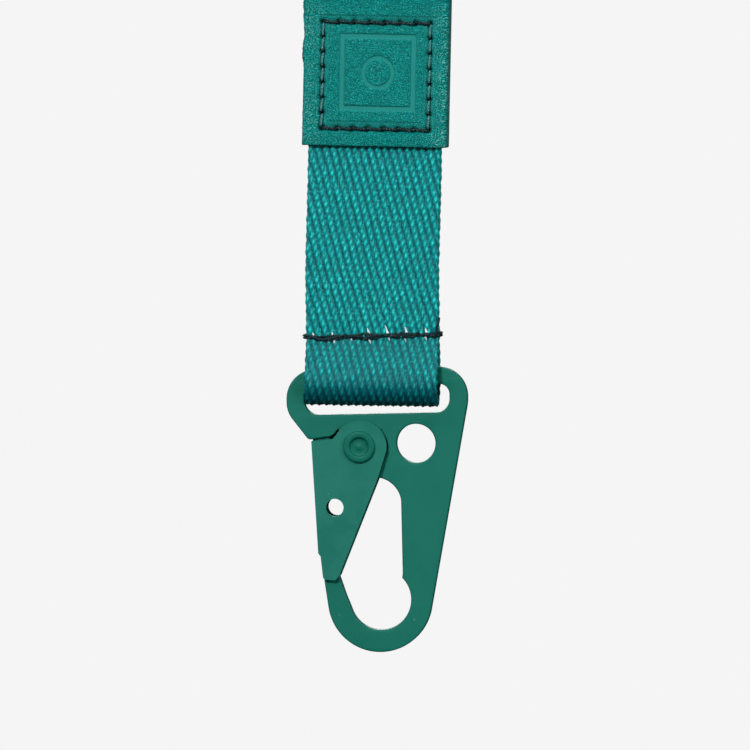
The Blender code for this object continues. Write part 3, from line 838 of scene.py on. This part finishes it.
def make_box_stitch(side, name, node):
    soup = Soup()
    rnd = np.random.default_rng(11 if side < 0 else 12)
    count = len(HOLES)
    for i in range(count):
        a, b = HOLES[i], HOLES[(i + 1) % count]
        d = (b - a) / np.linalg.norm(b - a)
        nn = np.array([-d[1], d[0]])
        slant = 0.16 if abs(d[0]) > abs(d[1]) else 0.10
        n = 16
        t = np.linspace(0, 1, n)
        short = 0.26 if abs(d[1]) > abs(d[0]) else 0.05
        start, end = a + d * short + nn * slant, b - d * short - nn * slant
        xy = start[None] + (end - start)[None] * t[:, None]
        xy += nn[None] * (rnd.normal(0, 0.03) * np.sin(np.pi * t))[:, None]
        lift = np.clip(np.sin(np.pi * t) / 0.55, 0, 1) ** 0.7
        y = OUTER - 0.72 + 0.74 * lift
        pts = np.stack([xy[:, 0], side * y, xy[:, 1] - LEATHER_H / 2], 1)
        upright = abs(d[1]) > abs(d[0])
        twisted(soup, pts, 0.22 if upright else 0.33, 1.1, float(i) + (100.0 if upright else 0.0), phase=rnd.uniform(0, 6))
    mesh = soup.mesh(name, "ply")
    mesh.transform(LEATHER_AT)
    obj = new_object(name, mesh, M_THREAD, "neck_strap")
    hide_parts(node)


make_box_stitch(-1, "box_stitch_front_thread", "box_stitch_front")
make_box_stitch(1, "box_stitch_back_thread", "box_stitch_back")


TACK_X = float(sway(np.array([TACK_Z]))[0])


def make_bar_tack(side, name, node):
    """A heavy closing row: three overlapping runs of thread, pulled into the webbing at each needle hole."""
    soup = Soup()
    rnd = np.random.default_rng(21 if side < 0 else 22)
    face = WEB_T + GAP / 2 - 0.02
    holes = np.linspace(-12.35, 12.35, 8)
    line = lambda x: TACK_Z - 0.12 + 0.040 * x + 0.25 * np.exp(-((x + 12.0) / 1.5) ** 2) - 0.30 * np.exp(-((x + 9.2) / 2.2) ** 2)
    for run in range(3):
        shift = (-0.24, 0.20, 0.02)[run]
        for i in range(len(holes) - 1):
            a, b = holes[i], holes[i + 1]
            t = np.linspace(0, 1, 18)
            x = a + (b - a) * t + rnd.normal(0, 0.05)
            z = line(x) + shift * 1.15 + rnd.normal(0, 0.09) + (0.2 if (i + run) % 2 else -0.2) * (t - 0.5) * 1.9 + 0.10 * np.sin(t * 23 + i * 2.1 + run)
            lift = np.clip(np.sin(np.pi * t) / 0.5, 0, 1) ** 0.6
            y = face - 0.30 + (0.48 + 0.10 * run + rnd.uniform(-0.04, 0.06)) * lift
            twisted(soup, np.stack([x, side * y, z], 1), 0.27, 0.80, float(run * 10 + i), sides=6, phase=rnd.uniform(0, 6))
    for end in (-1, 1):
        # the thread turns round the selvedge at each end
        for k in range(2):
            a = np.linspace(-0.3, np.pi + 0.3, 14)
            x = end * (12.35 + 0.42 * np.sin(a))
            y = face * np.cos(a) * 0.5 + face * 0.5
            z = line(np.full_like(a, end * 12.3)) + (0.25 if k else -0.2)
            twisted(soup, np.stack([x, side * y, z], 1), 0.27, 1.1, 40.0 + k, sides=6)
    if side < 0:
        # a loose end at the right, lying up the selvedge
        t = np.linspace(0, 1, 16)
        x = 12.00 - 0.10 * np.sin(t * 2.6) + 0.62 * t
        z = line(np.array([12.3]))[0] + 3.1 * t
        y = face + 0.42 + 0.10 * np.sin(t * 3.0)
        twisted(soup, np.stack([x, -y, z], 1), 0.29, 0.8, 60.0, sides=6)
        # short fibres standing off the left end
        for k in range(5):
            a = rnd.uniform(-0.6, 0.6)
            t = np.linspace(0, 1, 5)
            x = -12.5 - 0.55 * t * math.cos(a)
            z = line(np.array([-12.3]))[0] + 0.45 * t * math.sin(a) + rnd.uniform(-0.3, 0.3)
            verts, quads, caps = strand(np.stack([x, np.full(5, -face - 0.15), z], 1), 0.05, 5)
            soup.add(verts, quads, caps, (0.0, 70.0 + k, 0.0))
    mesh = soup.mesh(name, "ply")
    mesh.transform(Matrix.Translation((TACK_X * MM, 0, 0)))
    obj = new_object(name, mesh, M_TACK, "webbing_loop")
    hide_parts(node)
    return holes, line, face


holes, tack_line, tack_face = make_bar_tack(-1, "bar_tack_front_thread", "bar_tack_front")
make_bar_tack(1, "bar_tack_back_thread", "bar_tack_back")


def make_pale_gaps():
    """Slivers of pale core where the needle has pushed the ribs apart, above and below the sewn row."""
    soup = Soup()
    rnd = np.random.default_rng(5)
    spots = [(-10.95, 1, 0.8), (-7.3, 1, 1.0), (-0.55, 1, 1.6), (2.95, 1, 2.2), (6.5, 1, 1.9), (10.2, 1, 1.3), (-7.2, -1, 1.5), (-3.9, -1, 0.7), (-0.6, -1, 1.5), (3.1, -1, 0.8), (6.1, -1, 1.2), (10.0, -1, 1.0)]
    for x0, way, size in spots:
        n = 9
        t = np.linspace(0, 1, n)
        z = tack_line(x0) + way * (0.40 + size * 0.72 * t)
        x = x0 - way * 0.24 * (size * t) + rnd.normal(0, 0.01)
        width = 0.24 * (1 - t) ** 0.8 * min(1.0, 0.55 + size * 0.3) + 0.015
        y = -(tack_face + 0.17 - 0.16 * t)
        verts, quads, caps = strand(np.stack([x, y, z], 1), width, 8)
        centre_y = np.repeat(y, 8)
        verts[:, 1] = centre_y + (verts[:, 1] - centre_y) * 0.5
        soup.add(verts, quads, caps)
    mesh = soup.mesh("tack_pale_gaps")
    mesh.transform(Matrix.Translation((TACK_X * MM, 0, 0)))
    obj = new_object("tack_pale_gaps", mesh, M_PALE, "webbing_loop")


make_pale_gaps()


# ================================================================ snap hook
HOOK_AT = Matrix.Translation((0, 0, BAR_Z * MM)) @ Matrix.Rotation(math.radians(HOOK_TILT), 4, "Y")


def arc(cx, cz, radius, start, end, count):
    a = np.radians(np.linspace(start, end, count + 1))
    return [(cx + radius * math.cos(t), cz + radius * math.sin(t)) for t in a]


def rounded(corners, step=12.0):
    out = []
    n = len(corners)
    for i, (x, z, r) in enumerate(corners):
        p = Vector((x, z))
        if r <= 0:
            out.append((x, z))
            continue
        a = (Vector(corners[i - 1][:2]) - p).normalized()
        b = (Vector(corners[(i + 1) % n][:2]) - p).normalized()
        half = a.angle(b) / 2
        reach = r / math.tan(half)
        centre = p + (a + b).normalized() * (r / math.sin(half))
        va, vb = p + a * reach - centre, p + b * reach - centre
        turn = math.atan2(va.x * vb.y - va.y * vb.x, va.dot(vb))
        count = max(3, int(abs(math.degrees(turn)) / step))
        base = math.atan2(va.y, va.x)
        for k in range(count + 1):
            t = base + turn * k / count
            out.append((centre.x + r * math.cos(t), centre.y + r * math.sin(t)))
    return out


def body_outline():
    top = 1.65
    corners = [
        (-SIDE_X, top, 5.6), (-SIDE_X, -6.3, 5.0), (-12.98, -11.58, 1.0), (-9.70, -11.10, 0.4),
        (-9.30, -13.60, 2.2), (-6.60, -17.90, 1.6), (-3.60, -18.75, 1.0),
    ]
    corners += [(x, z, 0.0) for x, z in arc(-0.86, -23.78, 4.97, 104.0, 6.0, 28)]
    corners += [(4.06, -36.9, 0.0)]
    corners += [(x, z, 0.0) for x, z in arc(-0.20, -41.62, 5.72, 43.7, -164.4, 64)]
    corners += [(-6.62, -40.80, 0.0), (-8.75, -34.20, 0.4), (-11.10, -33.95, 0.4), (-10.64, -38.09, 0.0)]
    corners += [(x, z, 0.0) for x, z in arc(-0.33, -41.74, 9.75, 187.0, 349.0, 72)]
    corners += [(SIDE_X, -5.07, 9.0), (SIDE_X, top, 5.6)]
    return rounded(corners, 3.0)


def gate_outline():
    corners = [(-12.35, -11.74, 0.15), (-8.35, -11.44, 0.3)]
    corners += [(x, z, 0.0) for x, z in arc(RIVET[0] + 0.16, RIVET[1] + 0.02, 4.95, 150.0, -12.0, 44)]
    corners += [(-0.25, -19.40, 6.0), (-7.74, -37.02, 0.35), (-8.45, -37.85, 0.5), (-10.72, -37.64, 0.6), (-11.12, -33.30, 0.25), (-11.54, -32.75, 0.25)]
    return rounded(corners, 6.0)


def flat_piece(name, loops, thickness, bevel, segments=4):
    """A stamped plate from closed outlines, with rounded edges, as a mesh lying in the hook's own frame."""
    curve = bpy.data.curves.new(name, "CURVE")
    curve.dimensions, curve.fill_mode = "2D", "BOTH"
    curve.extrude = (thickness / 2 - bevel) * MM
    curve.bevel_depth, curve.bevel_resolution, curve.offset = bevel * MM, segments, -bevel * MM
    for pts in loops:
        spline = curve.splines.new("POLY")
        spline.points.add(len(pts) - 1)
        spline.points.foreach_set("co", np.array([(u * MM, v * MM, 0.0, 1.0) for u, v in pts], np.float32).ravel())
        spline.use_cyclic_u = True
    obj = bpy.data.objects.new(name, curve)
    bpy.context.scene.collection.objects.link(obj)
    bpy.context.view_layer.update()
    mesh = bpy.data.meshes.new_from_object(obj.evaluated_get(bpy.context.evaluated_depsgraph_get()))
    bpy.data.objects.remove(obj, do_unlink=True)
    bpy.data.curves.remove(curve)
    mesh.transform(Matrix.Rotation(math.radians(90), 4, "X"))
    bm = bmesh.new()
    bm.from_mesh(mesh)
    bmesh.ops.remove_doubles(bm, verts=bm.verts, dist=0.000004)
    bmesh.ops.recalc_face_normals(bm, faces=bm.faces)
    bm.to_mesh(mesh)
    bm.free()
    mesh.name = name
    mesh.materials.clear()
    return mesh


def subtract(obj, cutters):
    for cutter in cutters:
        m = obj.modifiers.new("cut", "BOOLEAN")
        m.operation, m.solver, m.object = "DIFFERENCE", "EXACT", cutter
    bpy.context.view_layer.update()
    mesh = bpy.data.meshes.new_from_object(obj.evaluated_get(bpy.context.evaluated_depsgraph_get()))
    obj.modifiers.clear()
    old = obj.data
    obj.data = mesh
    bpy.data.meshes.remove(old)
    for cutter in cutters:
        bpy.data.objects.remove(cutter, do_unlink=True)


def block(name, pts, y0, y1):
    """A cutter: an outline between two planes, in the hook's frame."""
    mesh = flat_piece(name, [pts], y1 - y0, 0.0, 0)
    mesh.transform(Matrix.Translation((0, (y0 + y1) / 2 * MM, 0)))
    obj = bpy.data.objects.new(name, mesh)
    bpy.context.scene.collection.objects.link(obj)
    return obj


def finish_metal(obj, angle=50.0):
    """Rounded edges blend into faces that stay flat."""
    obj.data.shade_smooth()
    obj.data.set_sharp_from_angle(angle=math.radians(angle))
    obj.data.transform(HOOK_AT)
    m = obj.modifiers.new("flat", "WEIGHTED_NORMAL")
    m.weight, m.keep_sharp, m.mode = 100, True, "FACE_AREA"
    bpy.context.view_layer.update()
    mesh = bpy.data.meshes.new_from_object(obj.evaluated_get(bpy.context.evaluated_depsgraph_get()))
    obj.modifiers.clear()
    old = obj.data
    obj.data = mesh
    bpy.data.meshes.remove(old)


def make_hook():
    rivet_hole = arc(RIVET[0], RIVET[1], 1.75, 0.0, 352.5, 47)
    big_hole = arc(7.13, -12.60, 3.64, 0.0, 355.0, 71)
    slot = rounded([(-13.6, -1.6, 1.9), (13.6, -1.6, 1.9), (13.6, -6.92, 2.6), (-13.6, -6.92, 2.6)], 5.0)
    mesh = flat_piece("hook_body_painted", [body_outline(), slot, big_hole, rivet_hole], BODY_T, 0.30, 3)
    obj = bpy.data.objects.new("hook_body_painted", mesh)
    bpy.context.scene.collection.objects.link(obj)
    pocket = block("c1", arc(RIVET[0], RIVET[1], 3.35, 0.0, 352.5, 47), 0.0, 2.0)
    lane = block("c2", [(-13.0, -14.2), (-3.5, -10.2), (-3.5, -16.2), (-8.0, -21.0), (-13.0, -21.0)], 0.0, 2.0)
    # relief pressed into the front face where the gate's shoulder and head lie against it
    head = arc(RIVET[0] + 0.16, RIVET[1] + 0.02, 5.22, 136.0, 152.0, 6)
    shoulder = block("c5", [(-9.95, -11.00), (-9.2, -10.94), (-8.55, -10.72), (-8.0, -10.30), (-7.60, -9.75), (-7.0, -9.30)] + head[:3] + [(-6.2, -11.5), (-8.0, -12.6), (-9.95, -12.6)], -BODY_T / 2 - 0.5, -BODY_T / 2 + 1.6)
    rim = arc(RIVET[0] + 0.16, RIVET[1] + 0.02, 5.14, 40.0, -14.0, 20)
    rim = block("c6", rim + [(0.05, -18.15), (-0.75, -18.15), (-0.4, -14.5), (-0.2, -11.0)], -BODY_T / 2 - 0.5, -BODY_T / 2 + 0.5)
    subtract(obj, [pocket, lane, shoulder, rim])
    # the stop that the gate's folded spine closes against
    stop = flat_piece("t1", [[(-12.26, -11.2), (-9.0, -10.6), (-9.0, -12.25), (-12.26, -12.25)]], 1.0, 0.0, 0)
    bm = bmesh.new()
    bm.from_mesh(obj.data)
    bm.from_mesh(stop)
    bm.to_mesh(obj.data)
    bm.free()
    bpy.data.meshes.remove(stop)
    obj.data.materials.clear()
    obj.data.materials.append(M_PAINT)
    finish_metal(obj)
    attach(obj, "hook")
    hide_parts("hook_body")
    return obj


def make_gate():
    half = BODY_T / 2 + GAP + GATE_T
    hole = arc(RIVET[0], RIVET[1], 1.75, 0.0, 352.5, 47)
    window = arc(-8.24, -24.24, 1.65, 0.0, 350.0, 35)
    mesh = flat_piece("gate_painted", [gate_outline(), hole, window], 2 * half, 0.0, 0)
    # the sheet is folded along its outer edge, so that edge is rounder than the cut ones
    bm = bmesh.new()
    bm.from_mesh(mesh)
    bmesh.ops.dissolve_limit(bm, angle_limit=math.radians(0.5), verts=bm.verts, edges=bm.edges)

    def flat_edges(test):
        found = []
        for e in bm.edges:
            a, b = e.verts[0].co / MM, e.verts[1].co / MM
            if abs(abs(a.y) - half) < 0.01 and abs(a.y - b.y) < 0.01 and len(e.link_faces) == 2 and e.calc_face_angle(0) > 0.6 and test(a, b):
                found.append(e)
        return found

    spine = flat_edges(lambda a, b: max(a.x, b.x) < -11.3 and max(a.z, b.z) < -11.8 and min(a.z, b.z) > -32.7)
    bmesh.ops.bevel(bm, geom=spine, offset=0.75 * MM, segments=6, profile=0.5, affect="EDGES", clamp_overlap=True)
    rest = flat_edges(lambda a, b: True)
    bmesh.ops.bevel(bm, geom=rest, offset=0.16 * MM, segments=3, profile=0.5, affect="EDGES", clamp_overlap=True)
    bmesh.ops.recalc_face_normals(bm, faces=bm.faces)
    bm.to_mesh(mesh)
    bm.free()
    obj = bpy.data.objects.new("gate_painted", mesh)
    bpy.context.scene.collection.objects.link(obj)
    inner = half - GATE_T
    inside = [(-16.0, -8.0), (4.0, -6.0), (4.0, -20.0), (-6.0, -40.0), (-16.0, -40.0), (-16.0, -32.55), (-10.6, -32.55), (-11.42, -12.35), (-16.0, -12.35)]
    subtract(obj, [block("c3", inside, -inner, inner)])
    obj.data.materials.clear()
    obj.data.materials.append(M_GATE)
    finish_metal(obj)
    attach(obj, "gate")
    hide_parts("gate")
    return obj


def make_rivet():
    head = BODY_T / 2 + GAP + GATE_T + 0.02
    face = [(0.0, 0.22), (0.25, 0.21), (0.45, 0.15), (0.65, 0.06), (0.90, 0.02), (1.20, 0.02), (1.48, 0.04), (1.62, 0.10), (1.70, 0.26), (1.76, 0.46), (1.85, 0.56), (2.02, 0.605), (2.35, 0.615), (2.62, 0.60), (2.80, 0.54), (2.92, 0.42), (2.98, 0.26), (3.0, 0.08), (2.98, 0.0), (1.45, 0.0)]
    profile = [(r, head + h) for r, h in face] + [(r, -head - h) for r, h in face[::-1]]
    n, seg = len(profile), 96
    ang = np.linspace(0, 2 * np.pi, seg, endpoint=False)
    rings = []
    for r, y in profile[1:-1]:
        rings.append(np.stack([RIVET[0] + r * np.cos(ang), np.full(seg, -y), RIVET[1] + r * np.sin(ang)], 1))
    verts = np.concatenate(rings)
    quads = ring_quads(n - 2, seg)
    caps = [list(range(seg)), list(range((n - 3) * seg, (n - 2) * seg))[::-1]]
    mesh = mesh_from("rivet_painted", verts, quads, others=caps)
    outward(mesh)
    mesh.set_sharp_from_angle(angle=math.radians(50))
    mesh.transform(HOOK_AT)
    obj = new_object("rivet_painted", mesh, M_RIVET, "hook")
    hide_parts("rivet")


make_hook()
make_gate()
make_rivet()
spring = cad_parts["gate_spring"]
spring.data.materials.clear()
spring.data.materials.append(M_STEEL)
for p in spring.data.polygons:
    p.material_index = 0


# ================================================================ studio
PALE = (0.913, 0.913, 0.913, 1)


def pale_to_camera(tree, out, dim):
    """Emission that the camera sees as a plain pale ground, and that lights the object only dimly."""
    seen = tree.nodes.new("ShaderNodeBackground" if out.type == "OUTPUT_WORLD" else "ShaderNodeEmission")
    seen.inputs[0].default_value, seen.inputs[1].default_value = PALE, 1.0
    lit = tree.nodes.new(seen.bl_idname)
    lit.inputs[0].default_value, lit.inputs[1].default_value = PALE, dim
    path = tree.nodes.new("ShaderNodeLightPath")
    mix = tree.nodes.new("ShaderNodeMixShader")
    tree.links.new(path.outputs["Is Camera Ray"], mix.inputs[0])
    tree.links.new(lit.outputs[0], mix.inputs[1])
    tree.links.new(seen.outputs[0], mix.inputs[2])
    tree.links.new(mix.outputs[0], out.inputs[0])


def stage_material():
    n = Nodes("studio_white")
    n.tree.nodes.remove(n.bsdf)
    pale_to_camera(n.tree, n.out, 0.03)
    return n.mat


def make_stage():
    """A plain pale floor, open all round so that the object can be seen from every side."""
    floor_z, wide = -0.62, 6.0
    prof = np.array([(-6.0, floor_z), (-2.0, floor_z), (2.0, floor_z), (6.0, floor_z)])
    P = np.concatenate([np.stack([np.full(len(prof), x), prof[:, 0], prof[:, 1]], 1) for x in (-wide, wide)]) / MM
    k = len(prof)
    quads = [[i, i + 1, k + i + 1, k + i] for i in range(k - 1)]
    mesh = mesh_from("floor", P, quads)
    obj = bpy.data.objects.new("floor", mesh)
    bpy.context.scene.collection.objects.link(obj)
    mesh.materials.append(stage_material())


make_stage()


def area(name, at, target, size, power, colour=(1, 1, 1)):
    data = bpy.data.lights.new(name, "AREA")
    data.shape, data.size, data.energy, data.color = "DISK", size, power, colour
    obj = bpy.data.objects.new(name, data)
    bpy.context.scene.collection.objects.link(obj)
    obj.location = at
    obj.rotation_euler = (Vector(target) - Vector(at)).to_track_quat("-Z", "Y").to_euler()
    return obj


MID = (0.0, 0.0, -0.44)
area("key", (-0.44, -1.24, 0.20), MID, 0.36, 17.6)
area("fill", (1.05, -0.9, -0.10), MID, 0.9, 8.4)
area("top", (0.05, -0.45, 0.75), MID, 0.5, 3.6)
area("rear", (-0.25, 1.30, 0.12), MID, 0.8, 11.0)
world = bpy.data.worlds.new("studio")
bpy.context.scene.world = world
world.use_nodes = True
world.node_tree.nodes.clear()
pale_to_camera(world.node_tree, world.node_tree.nodes.new("ShaderNodeOutputWorld"), 0.14)
bpy.context.scene.view_settings.view_transform = "Standard"
bpy.context.scene.view_settings.look = "None"
